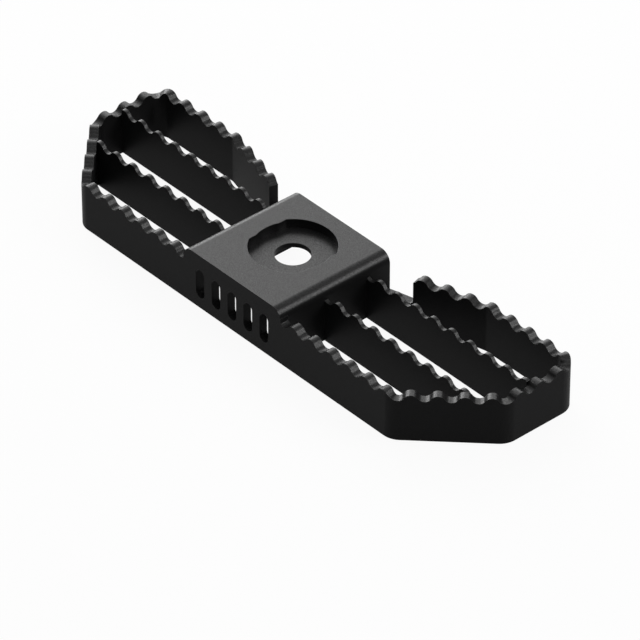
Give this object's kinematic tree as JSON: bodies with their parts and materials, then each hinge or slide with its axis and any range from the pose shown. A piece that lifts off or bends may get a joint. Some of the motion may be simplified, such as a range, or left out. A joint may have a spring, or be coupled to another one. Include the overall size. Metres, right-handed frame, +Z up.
{
  "type": "hitch receiver step",
  "caption": "Serrated metal step with a bent outer rim, thin inner rails and a centre saddle that is clamped under a tow ball on a ball mount.",
  "frame": {"origin": "centre of the plan at the level of the bottom edges", "axes": "+X along the step, -Y towards the long front wall, +Z up out of the ball seat"},
  "size_m": [0.4436, 0.1238, 0.0455],
  "materials": {
    "powder_coat": "fine-textured satin black powder coat over the whole weldment"
  },
  "bodies": {
    "root": {"outer_rim": "powder_coat", "saddle": "powder_coat", "front_rail_right": "powder_coat", "front_rail_left": "powder_coat", "rear_rail_right": "powder_coat", "rear_rail_left": "powder_coat"}
  },
  "joints": []
}
